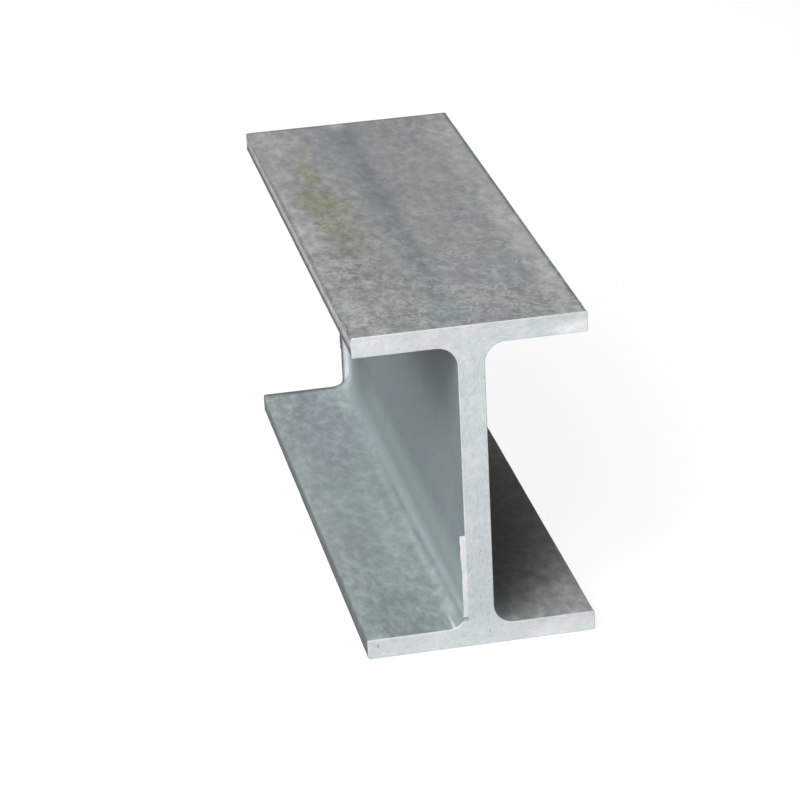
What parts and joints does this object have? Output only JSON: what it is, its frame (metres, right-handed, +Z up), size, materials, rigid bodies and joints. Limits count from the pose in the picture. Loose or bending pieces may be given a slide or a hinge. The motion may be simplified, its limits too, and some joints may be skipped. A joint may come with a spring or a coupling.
{
  "type": "steel i-beam",
  "caption": "Short sawn length of galvanised rolled steel I-beam with parallel flanges, a thick web and root fillets, standing on its bottom flange.",
  "frame": {"origin": "middle of the bottom flange's underside, which stands on the plane Z = 0", "axes": "+Y along the beam, +X across the flanges, +Z up through the web"},
  "size_m": [0.1, 0.28, 0.148],
  "materials": {
    "galvanised_steel": "satin"
  },
  "bodies": {
    "root": {"i_beam": "galvanised_steel"}
  },
  "joints": []
}
